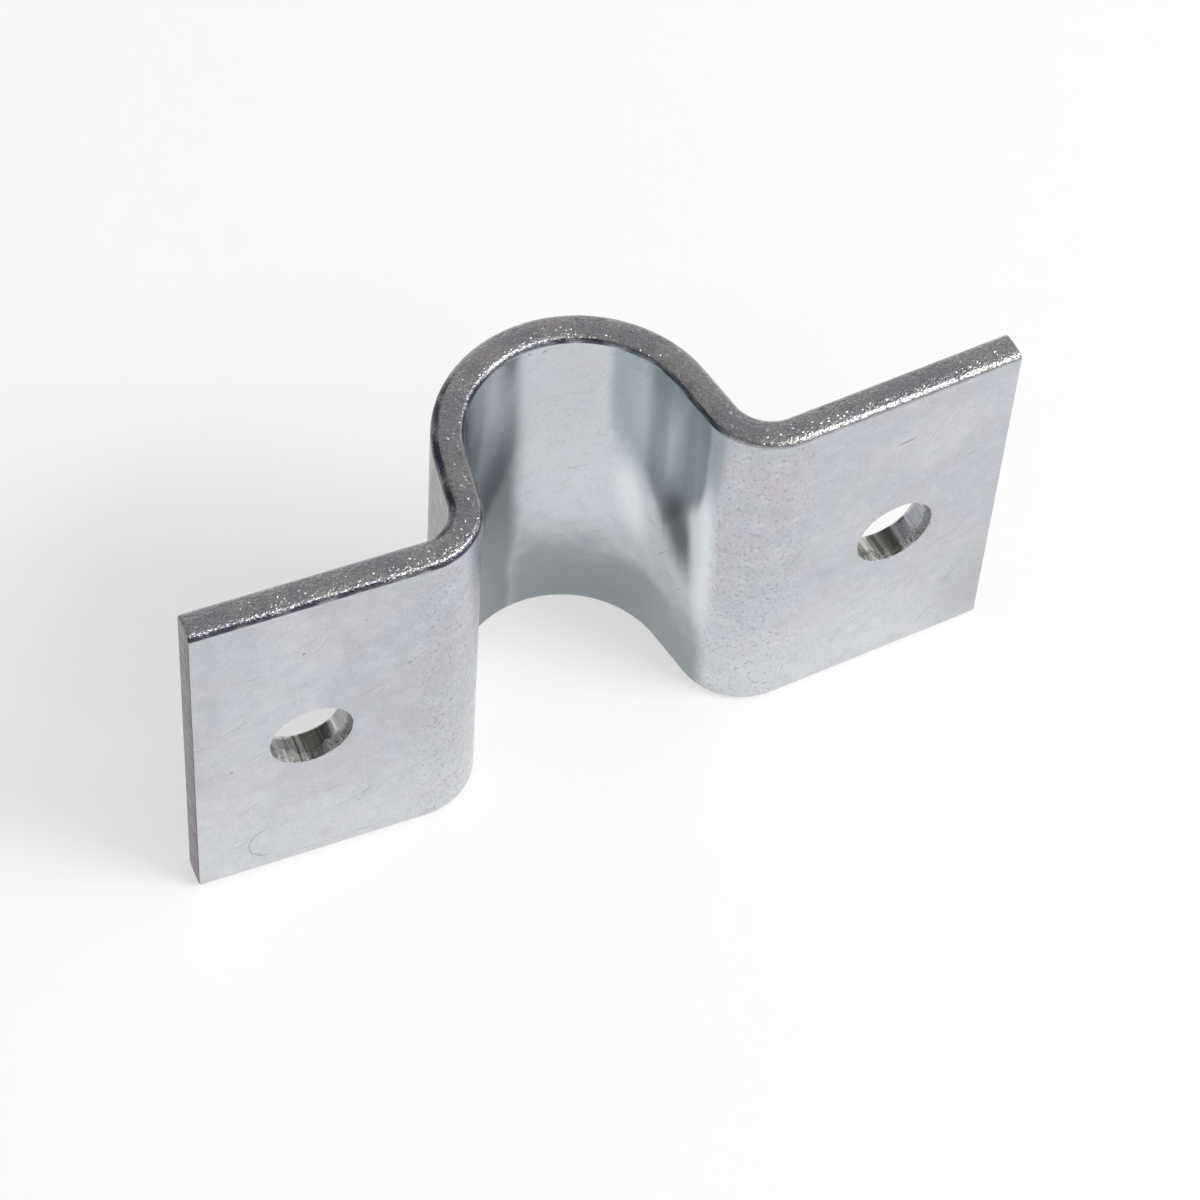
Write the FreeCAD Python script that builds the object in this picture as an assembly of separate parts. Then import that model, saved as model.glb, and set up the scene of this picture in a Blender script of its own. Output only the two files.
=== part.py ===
import FreeCAD, Part

import math
import os

# Two-hole conduit strap, bent from one length of rolled flat bar.
#
# The bar goes over the conduit as a half-round seat. A leg comes down each side, a
# little open, and turns out through a tight reverse bend into a tab with one punched
# hole. Once bent, the tabs spring back by a few degrees, so their ends stand off the
# wall until the bolts pull them flat. That pull is what grips the conduit, because
# the seat is a little shallower than the conduit is thick.
#
# Frame, in millimetres: the origin is on the conduit's centre line, at half the bar's
# width. +X runs from the left tab to the right one, +Y from the wall out over the
# crown of the seat, and +Z up the conduit. The strap stands on one rolled edge.

# Flat bar, as it comes from the mill
BAR_WIDTH = 50.0
BAR_THICKNESS = 3.8
BAR_EDGE_RADIUS = 0.8        # its four long corners, rounded by the rolls

# Seat, for a 25 mm conduit
SEAT_RADIUS = 12.8           # inside face
SEAT_HEIGHT = 10.6           # from the wall to the conduit's centre line
LEG_FLARE = 9.9              # degrees that each leg opens from square to the wall

# Tabs
BEND_RADIUS = 4.5            # hollow side of each reverse bend
TAB_SPRINGBACK = 2.6         # degrees that each tab rises off the wall
TAB_REACH = 49.8             # from the centre line to each sheared end
SHEARED_EDGE_RADIUS = 0.25   # the cut's sharp edge, worn down in the plating barrel

# Punched holes: the punch goes in at the outer face and breaks out at the wall
HOLE_RADIUS = 4.75
HOLE_FROM_END = 13.7
HOLE_BELOW_MIDDLE = 0.5      # down from half the bar's width
HOLE_ENTRY_BEVEL = 0.3       # where the punch draws the outer face in
HOLE_BREAKOUT_DEPTH = 1.5    # stretch of the hole that tears instead of cutting
HOLE_BREAKOUT_SPREAD = 0.12  # how far the tear runs out beyond the cut
PUNCH_OVERRUN = 1.0          # how far the punch's void passes each face

ORIGIN = FreeCAD.Vector(0, 0, 0)
ACROSS = FreeCAD.Vector(1, 0, 0)
OUTWARD = FreeCAD.Vector(0, 1, 0)
UPWARD = FreeCAD.Vector(0, 0, 1)
QUARTER_TURN = 90.0
FULL_TURN = 360.0
ON_FACE = 1e-4               # how near to a plane an edge counts as lying on it


def heading(degrees):
    """Unit vector in the plane of the bends, turned from +X towards +Y."""
    angle = math.radians(degrees)
    return FreeCAD.Vector(math.cos(angle), math.sin(angle), 0)


def bar_section():
    """Rolled bar's section at the crown: thickness along Y, width along Z."""
    flat_width = BAR_WIDTH - 2 * BAR_EDGE_RADIUS
    flat_thickness = BAR_THICKNESS - 2 * BAR_EDGE_RADIUS
    corner = FreeCAD.Vector(0, flat_thickness / 2, -flat_width / 2)
    core = Part.makePlane(flat_width, flat_thickness, corner, ACROSS, UPWARD)
    section = core.makeOffset2D(BAR_EDGE_RADIUS)
    return section.translated(OUTWARD * (SEAT_RADIUS + BAR_THICKNESS / 2))


def straight(section, run):
    """Carry the bar straight on. Returns the metal and the section at its end."""
    return section.extrude(run), section.translated(run)


def bend(section, centre, degrees):
    """Carry the bar round a bend. Returns the metal and the section at its end."""
    metal = section.revolve(centre, UPWARD, degrees)
    return metal, section.rotated(centre, UPWARD, degrees)


def leg_length():
    """Straight of a leg that lets the reverse bend just touch the wall."""
    flare = math.radians(LEG_FLARE)
    outer_radius = BEND_RADIUS + BAR_THICKNESS
    rise = SEAT_HEIGHT - outer_radius + (SEAT_RADIUS + outer_radius) * math.sin(flare)
    return rise / math.cos(flare)


def bend_centre():
    """Centre of the right reverse bend, beyond the outer face of its leg."""
    outer_radius = BEND_RADIUS + BAR_THICKNESS
    beside_seat = heading(LEG_FLARE) * (SEAT_RADIUS + outer_radius)
    return beside_seat + heading(LEG_FLARE - QUARTER_TURN) * leg_length()


def tab_length():
    """Straight of a tab, from its bend to the sheared end."""
    springback = math.radians(TAB_SPRINGBACK)
    mid_radius = BEND_RADIUS + BAR_THICKNESS / 2
    bend_end = bend_centre().x + mid_radius * math.sin(springback)
    return (TAB_REACH - bend_end) / math.cos(springback)


def bent_half():
    """Right half of the strap, from the crown to the sheared end, before it is punched."""
    leg_heading = LEG_FLARE - QUARTER_TURN
    seat, below_seat = bend(bar_section(), ORIGIN, leg_heading)
    leg, below_leg = straight(below_seat, heading(leg_heading) * leg_length())
    turn_out = TAB_SPRINGBACK - leg_heading
    reverse_bend, tab_start = bend(below_leg, bend_centre(), turn_out)
    tab, sheared_end = straight(tab_start, heading(TAB_SPRINGBACK) * tab_length())
    return seat.fuse([leg, reverse_bend, tab]), sheared_end.CenterOfMass


def blunted(half, end_middle):
    """Take the sharpness off every edge of the sheared end."""
    along_tab = heading(TAB_SPRINGBACK)
    end_edges = []
    for edge in half.Edges:
        if abs((edge.CenterOfMass - end_middle).dot(along_tab)) < ON_FACE:
            end_edges.append(edge)
    return half.makeFillet(SHEARED_EDGE_RADIUS, end_edges)


def punched_void():
    """What the punch takes out: a void along +Y that starts at the wall face, at the origin."""
    torn_radius = HOLE_RADIUS + HOLE_BREAKOUT_SPREAD
    entry_radius = HOLE_RADIUS + HOLE_ENTRY_BEVEL
    half_outline = [
        (0, -PUNCH_OVERRUN),
        (torn_radius, -PUNCH_OVERRUN),
        (torn_radius, 0),
        (HOLE_RADIUS, HOLE_BREAKOUT_DEPTH),
        (HOLE_RADIUS, BAR_THICKNESS - HOLE_ENTRY_BEVEL),
        (entry_radius, BAR_THICKNESS),
        (entry_radius, BAR_THICKNESS + PUNCH_OVERRUN),
        (0, BAR_THICKNESS + PUNCH_OVERRUN),
    ]
    corners = [FreeCAD.Vector(radius, depth, 0) for radius, depth in half_outline]
    outline = Part.makePolygon(corners + corners[:1])
    return Part.Face(outline).revolve(ORIGIN, OUTWARD, FULL_TURN)


def hole_middle(end_middle):
    """Middle of the right hole, on the wall face of its tab."""
    back_along_tab = heading(TAB_SPRINGBACK) * HOLE_FROM_END
    to_wall_face = heading(TAB_SPRINGBACK + QUARTER_TURN) * (BAR_THICKNESS / 2)
    return end_middle - back_along_tab - to_wall_face - UPWARD * HOLE_BELOW_MIDDLE


def strap():
    """Whole strap: one half bent, blunted and punched, and its mirror image."""
    half, end_middle = bent_half()
    half = blunted(half, end_middle)
    void = punched_void().rotated(ORIGIN, UPWARD, TAB_SPRINGBACK)
    half = half.cut(void.translated(hole_middle(end_middle)))
    return half.fuse(half.mirror(ORIGIN, ACROSS)).removeSplitter()


os.makedirs("parts", exist_ok=True)
part = strap()
part.exportStep("parts/strap.step")
print("strap:", part.ShapeType, "valid", part.isValid(), "solids", len(part.Solids), "faces", len(part.Faces))
print("volume in mm3:", round(part.Volume, 1), "box:", part.BoundBox)
print("leg", round(leg_length(), 3), "bend centre", bend_centre(), "tab", round(tab_length(), 3))
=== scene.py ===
# %% [markdown]
# # A conduit strap in bright zinc
# The part is one length of rolled flat bar, 50 mm wide and 3.8 mm thick. A press bends it over a
# 25 mm conduit and out into two tabs, a punch makes one hole in each tab, and a zinc bath plates it.
# The solid model already gives its exact shape, so this lesson has two jobs: a finer mesh whose
# surfaces are smooth enough for bright metal, and the plating itself.
#
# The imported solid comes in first. Its box is kept, because the finished piece has to stay inside it.

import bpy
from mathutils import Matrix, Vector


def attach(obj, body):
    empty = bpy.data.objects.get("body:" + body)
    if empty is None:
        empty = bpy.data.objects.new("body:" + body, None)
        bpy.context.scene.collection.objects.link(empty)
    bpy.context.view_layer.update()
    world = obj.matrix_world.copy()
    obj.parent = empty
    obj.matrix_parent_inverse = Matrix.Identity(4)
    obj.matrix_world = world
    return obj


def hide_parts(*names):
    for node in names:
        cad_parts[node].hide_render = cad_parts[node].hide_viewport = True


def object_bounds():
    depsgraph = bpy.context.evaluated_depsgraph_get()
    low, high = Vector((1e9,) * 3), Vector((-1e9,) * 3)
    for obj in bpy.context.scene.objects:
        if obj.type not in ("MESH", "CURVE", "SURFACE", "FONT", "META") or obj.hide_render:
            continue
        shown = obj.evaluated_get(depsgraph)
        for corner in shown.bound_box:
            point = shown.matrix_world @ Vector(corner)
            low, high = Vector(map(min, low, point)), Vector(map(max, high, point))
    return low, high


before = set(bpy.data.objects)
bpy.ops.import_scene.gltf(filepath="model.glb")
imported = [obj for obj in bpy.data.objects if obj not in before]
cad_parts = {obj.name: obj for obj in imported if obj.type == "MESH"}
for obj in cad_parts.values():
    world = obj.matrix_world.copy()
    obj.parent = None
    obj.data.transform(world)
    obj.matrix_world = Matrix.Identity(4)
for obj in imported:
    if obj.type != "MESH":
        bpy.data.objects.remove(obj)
solid_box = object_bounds()
print("packed nodes:", sorted(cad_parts), "box in metres:", solid_box)

# %% [markdown]
# ## Sizes
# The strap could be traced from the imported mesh, but its facets are too coarse for a shiny bend.
# Here the bar is made again from the same few sizes that the solid model uses, all in millimetres,
# and scaled to metres as each point is placed.

# %% Sizes of the bar, its bends and its holes
import math

MM = 0.001

BAR_WIDTH = 50.0
BAR_THICKNESS = 3.8
BAR_EDGE_RADIUS = 0.8

SEAT_RADIUS = 12.8
SEAT_HEIGHT = 10.6
LEG_FLARE = math.radians(9.9)
BEND_RADIUS = 4.5
TAB_SPRINGBACK = math.radians(2.6)
TAB_REACH = 49.8
SHEARED_EDGE_RADIUS = 0.25

HOLE_RADIUS = 4.75
HOLE_FROM_END = 13.7
HOLE_BELOW_MIDDLE = 0.5
HOLE_ENTRY_BEVEL = 0.3
HOLE_BREAKOUT_DEPTH = 1.5
HOLE_BREAKOUT_SPREAD = 0.12

# %% [markdown]
# ## The bend line
# Bar stock is easiest to think of before it is bent. Every point of it has a place along the bar from
# the crown, a place across its width, and a place out from mid-thickness. One function then does the
# press's work: it takes that flat place and says where the bend carries it. The same flat place later
# drives the marks in the zinc, so they follow the metal round each bend as real marks do.

# %% Lengths along the middle of the bar
mid_seat_radius = SEAT_RADIUS + BAR_THICKNESS / 2
mid_bend_radius = BEND_RADIUS + BAR_THICKNESS / 2
outer_bend_radius = BEND_RADIUS + BAR_THICKNESS

rise = SEAT_HEIGHT - outer_bend_radius + (SEAT_RADIUS + outer_bend_radius) * math.sin(LEG_FLARE)
leg_length = rise / math.cos(LEG_FLARE)
seat_turn = math.pi / 2 - LEG_FLARE
bend_turn = seat_turn + TAB_SPRINGBACK

bend_centre_x = (SEAT_RADIUS + outer_bend_radius) * math.cos(LEG_FLARE) + leg_length * math.sin(LEG_FLARE)
bend_centre_y = outer_bend_radius - SEAT_HEIGHT
bend_end_x = bend_centre_x + mid_bend_radius * math.sin(TAB_SPRINGBACK)
tab_length = (TAB_REACH - bend_end_x) / math.cos(TAB_SPRINGBACK)

seat_end = mid_seat_radius * seat_turn
leg_end = seat_end + leg_length
bend_end = leg_end + mid_bend_radius * bend_turn
bar_end = bend_end + tab_length
print("half the bar, in mm:", round(bar_end, 3), "leg", round(leg_length, 3), "tab", round(tab_length, 3))


# %% Carry one flat place round the bends
def bent_place(along, across, out):
    """Where the press puts a place in the flat bar, in millimetres."""
    side = -1.0 if along < 0 else 1.0
    run = abs(along)
    if run <= seat_end:
        turn = run / mid_seat_radius
        reach = mid_seat_radius + out
        x, y = reach * math.sin(turn), reach * math.cos(turn)
    elif run <= leg_end:
        past = run - seat_end
        reach = mid_seat_radius + out
        x = reach * math.sin(seat_turn) + past * math.cos(seat_turn)
        y = reach * math.cos(seat_turn) - past * math.sin(seat_turn)
    else:
        turn = seat_turn - min(run - leg_end, mid_bend_radius * bend_turn) / mid_bend_radius
        reach = mid_bend_radius - out
        past = max(run - bend_end, 0.0)
        x = bend_centre_x - reach * math.sin(turn) + past * math.cos(turn)
        y = bend_centre_y - reach * math.cos(turn) - past * math.sin(turn)
    return side * x, y, across


print("end of the right tab, in mm:", bent_place(bar_end, 0, 0))

# %% [markdown]
# ## The rolled section
# Mill rolls leave flat bar with four rounded corners. The outline is stored as a core rectangle plus a
# direction, so any ring of the bar is core + radius x direction, and the worn rim of each sheared end
# is the same outline with a smaller radius. A pair of points just inside each flat holds the
# shading flat up to the corner, as holding edges do in subdivision modelling. The narrow edges are
# not quite flat: the rolls leave their middle a tenth of a millimetre proud, which is little
# to measure, yet it is why their shine changes from one side to the other.
#
# Across each wide face the points are evenly spaced from one side of the hole's window to the other,
# so that the patch round the hole can join them one to one.

# %% Places across the bar
WINDOW_HALF = 7.5            # half the side of the square patch round each hole
WINDOW_CELLS = 24            # quads along each side of that patch
HOLDING = 0.05               # how near the holding points are to each corner
EDGE_CROWN = 0.10            # how far the middle of a rolled edge stands proud of its corners
core_half_width = BAR_WIDTH / 2 - BAR_EDGE_RADIUS
core_half_thickness = BAR_THICKNESS / 2 - BAR_EDGE_RADIUS


def evenly(start, stop, count):
    """Places from start to stop, in a number of equal steps."""
    return [start + (stop - start) * step / count for step in range(count + 1)]


window_low = -HOLE_BELOW_MIDDLE - WINDOW_HALF
window_high = -HOLE_BELOW_MIDDLE + WINDOW_HALF
face_half_width = core_half_width - EDGE_CROWN
LOWER_STEPS = 26             # steps from the lower edge to the window
UPPER_STEPS = 28             # steps from the window to the upper edge
EDGE_STEPS = 6               # steps through the thickness
across_places = [-face_half_width]
across_places += evenly(-face_half_width + HOLDING, window_low, LOWER_STEPS)
across_places += evenly(window_low, window_high, WINDOW_CELLS)[1:]
across_places += evenly(window_high, face_half_width - HOLDING, UPPER_STEPS)[1:]
across_places += [face_half_width]
through_places = [-core_half_thickness]
through_places += evenly(-core_half_thickness + HOLDING, core_half_thickness - HOLDING, EDGE_STEPS)
through_places += [core_half_thickness]


def crowned(out):
    """How far out the core of a rolled edge lies, at a place through its thickness."""
    return core_half_width - EDGE_CROWN * (out / core_half_thickness) ** 2


print("points across a wide face:", len(across_places), "and across an edge:", len(through_places))

# %% Outline of the bar, once round
CORNER_STEPS = 6


def corner(across, out, start_angle):
    """The points inside one rounded corner, without its two ends."""
    points = []
    for step in range(1, CORNER_STEPS):
        angle = start_angle + math.pi / 2 * step / CORNER_STEPS
        points.append((across, out, math.cos(angle), math.sin(angle)))
    return points


outline = [(across, -core_half_thickness, 0.0, -1.0) for across in across_places]
outline += corner(face_half_width, -core_half_thickness, -math.pi / 2)
outline += [(crowned(out), out, 1.0, 0.0) for out in through_places]
outline += corner(face_half_width, core_half_thickness, 0.0)
outline += [(across, core_half_thickness, 0.0, 1.0) for across in reversed(across_places)]
outline += corner(-face_half_width, core_half_thickness, math.pi / 2)
outline += [(-crowned(out), out, -1.0, 0.0) for out in reversed(through_places)]
outline += corner(-face_half_width, -core_half_thickness, math.pi)
print("points once round the section:", len(outline))

# %% [markdown]
# ## Stations along the bar
# Each station is one ring of the outline. Bends need a ring every couple of degrees, and the tabs need
# rings at the same spacing as the hole's window. The left half takes the same stations, negated.

# %% Places along the bar
SEAT_STEPS = 68              # steps of each half of the seat
LEG_STEPS = 8
BEND_STEPS = 34
TAB_STEPS = 10               # steps from a bend to the hole's window
END_STEPS = 9                # steps from the window to the sheared end
hole_along = bar_end - HOLE_FROM_END
right_stations = evenly(0.0, seat_end, SEAT_STEPS)
right_stations += [seat_end + HOLDING]
right_stations += evenly(seat_end + HOLDING, leg_end - HOLDING, LEG_STEPS)[1:]
right_stations += evenly(leg_end, bend_end, BEND_STEPS)
right_stations += [bend_end + HOLDING]
right_stations += evenly(bend_end + HOLDING, hole_along - WINDOW_HALF, TAB_STEPS)[1:]
right_stations += evenly(hole_along - WINDOW_HALF, hole_along + WINDOW_HALF, WINDOW_CELLS)[1:]
rim_start = bar_end - SHEARED_EDGE_RADIUS
right_stations += evenly(hole_along + WINDOW_HALF, rim_start - HOLDING, END_STEPS)[1:]
left_stations = [-along for along in reversed(right_stations[1:])]
stations = left_stations + right_stations
print("stations along the bar:", len(stations))

# %% [markdown]
# ## Points that remember the flat bar
# A mesh can carry its own numbers on each point, called attributes. Here each point keeps its flat
# place, and says how far it belongs to a rolled edge, a sheared end or a punched hole. The zinc
# reads these, so no image and no unwrapping is needed to put the right finish on the right metal.

# %% Start the mesh
import bmesh
from mathutils import Vector, noise

bar = bmesh.new()
flat_place = bar.verts.layers.float_vector.new("flat_place")
zone_layers = {}
for zone in ("rolled_edge", "sheared_end", "punched_wall"):
    zone_layers[zone] = bar.verts.layers.float.new(zone)


def add_point(along, across, out, **zones):
    """Add one point by its flat place, and say which zones it belongs to."""
    point = bar.verts.new(Vector(bent_place(along, across, out)) * MM)
    point[flat_place] = Vector((along, across, out))
    for zone, share in zones.items():
        point[zone_layers[zone]] = share
    return point


def add_ring(along, inset, **zones):
    """Add one ring of the section, drawn in by an inset."""
    ring = []
    for core_across, core_out, to_across, to_out in outline:
        radius = BAR_EDGE_RADIUS - inset
        edge_share = abs(to_across)
        point = add_point(
            along,
            core_across + radius * to_across,
            core_out + radius * to_out,
            rolled_edge=edge_share,
            **zones,
        )
        ring.append(point)
    return ring


# %% [markdown]
# ## The shell of the bar
# Rings are joined with four-sided faces all the way along. Where a hole comes, the faces inside its
# square window are left out on both wide faces, to be filled with a round patch later. A boolean cut
# would also make the hole, but it leaves long thin faces that shine unevenly on flat metal.

# %% Join the rings, leaving the windows open
rings = [add_ring(along, 0.0) for along in stations]


def in_window(along_a, along_b, across_a, across_b):
    """Whether a face of the shell lies in the window of a hole."""
    middle_along = abs(along_a + along_b) / 2
    middle_across = (across_a + across_b) / 2
    near_along = abs(middle_along - hole_along) < WINDOW_HALF
    return near_along and window_low < middle_across < window_high


def join(ring_a, ring_b, closed=True):
    """Join two rows of points with four-sided faces."""
    count = len(ring_a)
    for i in range(count if closed else count - 1):
        j = (i + 1) % count
        bar.faces.new((ring_a[i], ring_a[j], ring_b[j], ring_b[i]))


for index in range(len(stations) - 1):
    for i in range(len(outline)):
        j = (i + 1) % len(outline)
        wide = outline[i][2] == 0.0 and outline[j][2] == 0.0
        if wide and in_window(stations[index], stations[index + 1], outline[i][0], outline[j][0]):
            continue
        corners = (rings[index][i], rings[index][j], rings[index + 1][j], rings[index + 1][i])
        bar.faces.new(corners)
print("faces in the shell:", len(bar.faces))

# %% [markdown]
# ## The sheared ends
# A shear crops the bar, and tumbling in the plating barrel wears the cut's sharp rim. Three
# shrinking rings make that worn rim, one more holds it, and a single flat face closes the end.

# %% Close both ends
RIM_STEPS = 3


def close_end(side, last_ring):
    """Blunt and close one end of the bar."""
    end_rings = [last_ring, add_ring(side * rim_start, 0.0)]
    for step in range(1, RIM_STEPS + 1):
        angle = math.pi / 2 * step / RIM_STEPS
        along = rim_start + SHEARED_EDGE_RADIUS * math.sin(angle)
        inset = SHEARED_EDGE_RADIUS * (1 - math.cos(angle))
        end_rings.append(add_ring(side * along, inset, sheared_end=step / RIM_STEPS))
    end_rings.append(add_ring(side * bar_end, SHEARED_EDGE_RADIUS + HOLDING, sheared_end=1.0))
    for ring_a, ring_b in zip(end_rings, end_rings[1:]):
        join(ring_a, ring_b)
    bar.faces.new(end_rings[-1])


close_end(1, rings[-1])
close_end(-1, rings[0])
print("faces with both ends:", len(bar.faces))

# %% [markdown]
# ## The punched holes
# A punch goes in from the outer face. It draws the rim in, cuts a clean bright wall, and tears the
# last stretch as it breaks out on the wall side. The patch round each hole blends a
# square of the shell's own points into a circle, and rings go down through the thickness. On the torn
# stretch a repeatable noise pushes each point outwards, so the breakout is ragged in real shape.

# %% Find the shell's points by their flat places
def key(along, across, out):
    """A rounded flat place, to find a point by."""
    return round(along, 3), round(across, 3), round(out, 3)


shell_points = {}
for ring in rings:
    for point in ring:
        shell_points[key(*point[flat_place])] = point


def window_points(centre_along, out):
    """The shell's own points round one window, with the matching points of a circle."""
    steps = evenly(-WINDOW_HALF, WINDOW_HALF, WINDOW_CELLS)
    square = [(step, -WINDOW_HALF) for step in steps[:-1]]
    square += [(WINDOW_HALF, step) for step in steps[:-1]]
    square += [(-step, WINDOW_HALF) for step in steps[:-1]]
    square += [(-WINDOW_HALF, -step) for step in steps[:-1]]
    points = []
    for to_along, to_across in square:
        place = key(centre_along + to_along, -HOLE_BELOW_MIDDLE + to_across, out)
        points.append(shell_points[place])
    return square, points


# %% Rings of a hole
rim_count = WINDOW_CELLS * 4
PATCH_RINGS = (0.72, 0.48, 0.28, 0.14, 0.05)     # shares of the way from the rim to the window
TEAR_LUMPS = 6.0             # how close the tear's lumps are, round the hole
TEAR_TEETH = 19.0            # how close its fine teeth are
LUMP_SIZE = 0.10             # how far a lump runs out, in millimetres
TOOTH_SIZE = 0.09


def tear(angle, depth):
    """How far the tear pushes the wall outwards, in millimetres, at a depth from the wall face."""
    torn = max(0.0, 1.0 - depth / HOLE_BREAKOUT_DEPTH)
    round_hole = Vector((math.cos(angle), math.sin(angle), 0.0))
    lump = noise.noise(TEAR_LUMPS * round_hole + Vector((0.0, 0.0, depth * 1.5)))
    tooth = noise.noise(TEAR_TEETH * round_hole + Vector((0.0, 0.0, 7.0 + depth * 4.0)))
    return torn * (HOLE_BREAKOUT_SPREAD + LUMP_SIZE * max(0.0, lump) + TOOTH_SIZE * tooth)


def hole_ring(centre_along, radius, out, ragged, share):
    """One ring of points round a hole's centre line."""
    ring = []
    for step in range(rim_count):
        angle = -0.75 * math.pi + 2 * math.pi * step / rim_count
        reach = radius
        if ragged:
            reach += tear(angle, out + BAR_THICKNESS / 2)
        along = centre_along + reach * math.cos(angle)
        across = -HOLE_BELOW_MIDDLE + reach * math.sin(angle)
        ring.append(add_point(along, across, out, punched_wall=share))
    return ring


def patch(centre_along, out, rim):
    """Fill a wide face between its window and the rim of the hole."""
    square, window = window_points(centre_along, out)
    outer = window
    for share in PATCH_RINGS:
        ring = []
        for (to_along, to_across), rim_point in zip(square, rim):
            rim_along, rim_across, _ = rim_point[flat_place]
            along = rim_along + share * (centre_along + to_along - rim_along)
            across = rim_across + share * (-HOLE_BELOW_MIDDLE + to_across - rim_across)
            ring.append(add_point(along, across, out))
        join(outer, ring)
        outer = ring
    join(outer, rim)


# %% Punch both holes
WALL_DEPTHS = (0.04, 0.12, 0.25, 0.42, 0.62, 0.85, 1.1, 1.3, 1.5, 2.0, 2.6, 3.1)
ENTRY_TURNS = (0.0, 0.4, 0.8)    # shares of the quarter turn that rounds the rim at the outer face


def punch(centre_along):
    """Patch both wide faces round one hole, and line the hole."""
    wall_face = -BAR_THICKNESS / 2
    outer_face = BAR_THICKNESS / 2
    rim_in = hole_ring(centre_along, HOLE_RADIUS + HOLE_ENTRY_BEVEL, outer_face, False, 0.0)
    rim_out = hole_ring(centre_along, HOLE_RADIUS, wall_face, True, 0.4)
    patch(centre_along, outer_face, rim_in)
    patch(centre_along, wall_face, rim_out)
    lining = [rim_out]
    for depth in WALL_DEPTHS:
        lining.append(hole_ring(centre_along, HOLE_RADIUS, wall_face + depth, True, 1.0))
    for turn in ENTRY_TURNS:
        drawn_in = HOLE_ENTRY_BEVEL * (1 - math.cos(turn * math.pi / 2))
        depth = BAR_THICKNESS - HOLE_ENTRY_BEVEL * (1 - math.sin(turn * math.pi / 2))
        lining.append(hole_ring(centre_along, HOLE_RADIUS + drawn_in, wall_face + depth, False, 1.0 - turn))
    lining.append(rim_in)
    for ring_a, ring_b in zip(lining, lining[1:]):
        join(ring_a, ring_b)


punch(hole_along)
punch(-hole_along)
print("faces with both holes:", len(bar.faces), "points:", len(bar.verts))

# %% [markdown]
# ## One clean skin
# The faces were made from several directions, so their normals are made to agree, and the mesh is
# checked for open edges. Every face is smooth-shaded, and only edges that turn by more than 40
# degrees, at the torn rims, stay sharp.

# %% Make the strap's object
import bpy

SHARP_ANGLE = math.radians(40)

bmesh.ops.recalc_face_normals(bar, faces=bar.faces)
open_edges = [edge for edge in bar.edges if len(edge.link_faces) != 2]
print("open edges, which should be none:", len(open_edges))
strap_mesh = bpy.data.meshes.new("zinc_plated_strap")
bar.to_mesh(strap_mesh)
bar.free()
strap_mesh.shade_smooth()
strap_mesh.set_sharp_from_angle(angle=SHARP_ANGLE)
strap = bpy.data.objects.new("zinc_plated_strap", strap_mesh)
bpy.context.scene.collection.objects.link(strap)
triangles = sum(len(face.vertices) - 2 for face in strap_mesh.polygons)
print("triangles in the strap:", triangles)

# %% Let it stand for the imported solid
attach(strap, "root")
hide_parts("strap")

# %% [markdown]
# ## Helpers for building a finish
# A material is a small network: textures make numbers between 0 and 1, maths shapes them, and the
# metal shader turns them into colour, gloss and relief. A few short helpers keep each finish readable:
# one fills or links an input, some do plain arithmetic, one eases a number from one range to another
# and holds it at both ends, and one mixes a colour over another. They all add to the network that
# the name "tree" stands for at that moment, so each finish starts by setting that name.

# %% Node helpers
def fill(socket, source):
    """Link an input to another node's output, or set it to a plain value or colour."""
    if isinstance(source, bpy.types.NodeSocket):
        tree.links.new(source, socket)
    elif socket.type == "RGBA":
        socket.default_value = (*source, 1)
    else:
        socket.default_value = source


def maths(operation, first, second=0.0):
    """One step of arithmetic on two numbers."""
    node = tree.nodes.new("ShaderNodeMath")
    node.operation = operation
    fill(node.inputs[0], first)
    fill(node.inputs[1], second)
    return node.outputs[0]


def times(product, *factors):
    """Multiply two or more numbers."""
    for factor in factors:
        product = maths("MULTIPLY", product, factor)
    return product


def plus(first, second):
    """Add two numbers."""
    return maths("ADD", first, second)


def minus(first, second):
    """Take the second number from the first."""
    return maths("SUBTRACT", first, second)


# %% Helpers that ease and mix
def ramp(value, low, high, to_low=0.0, to_high=1.0):
    """Ease a number from one range to another, and hold it there at both ends."""
    node = tree.nodes.new("ShaderNodeMapRange")
    node.interpolation_type = "SMOOTHSTEP"
    fill(node.inputs["Value"], value)
    fill(node.inputs["From Min"], low)
    fill(node.inputs["From Max"], high)
    fill(node.inputs["To Min"], to_low)
    fill(node.inputs["To Max"], to_high)
    return node.outputs["Result"]


def band(value, start, full, fade, end):
    """1 between full and fade, and eased down to 0 at start and at end."""
    return times(ramp(value, start, full), ramp(value, end, fade))


def blend(share, first, second):
    """Go from one number to another, by a share from 0 to 1."""
    node = tree.nodes.new("ShaderNodeMix")
    fill(node.inputs["Factor"], share)
    fill(node.inputs[2], first)
    fill(node.inputs[3], second)
    return node.outputs[0]


def tint(share, ground, colour):
    """Mix a colour over a ground, by a share from 0 to 1."""
    node = tree.nodes.new("ShaderNodeMix")
    node.data_type = "RGBA"
    fill(node.inputs["Factor"], share)
    fill(node.inputs[6], ground)
    fill(node.inputs[7], colour)
    return node.outputs[2]


def wash(ground, value, low, high, share, colour):
    """Mix a colour over a ground where a number passes from low to high, up to a share."""
    return tint(ramp(value, low, high, 0.0, share), ground, colour)


# %% Texture helpers, all in millimetres of flat bar
def marked(name, output):
    """One of the numbers that the mesh keeps on its points."""
    node = tree.nodes.new("ShaderNodeAttribute")
    node.attribute_name = name
    return node.outputs[output]


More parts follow.
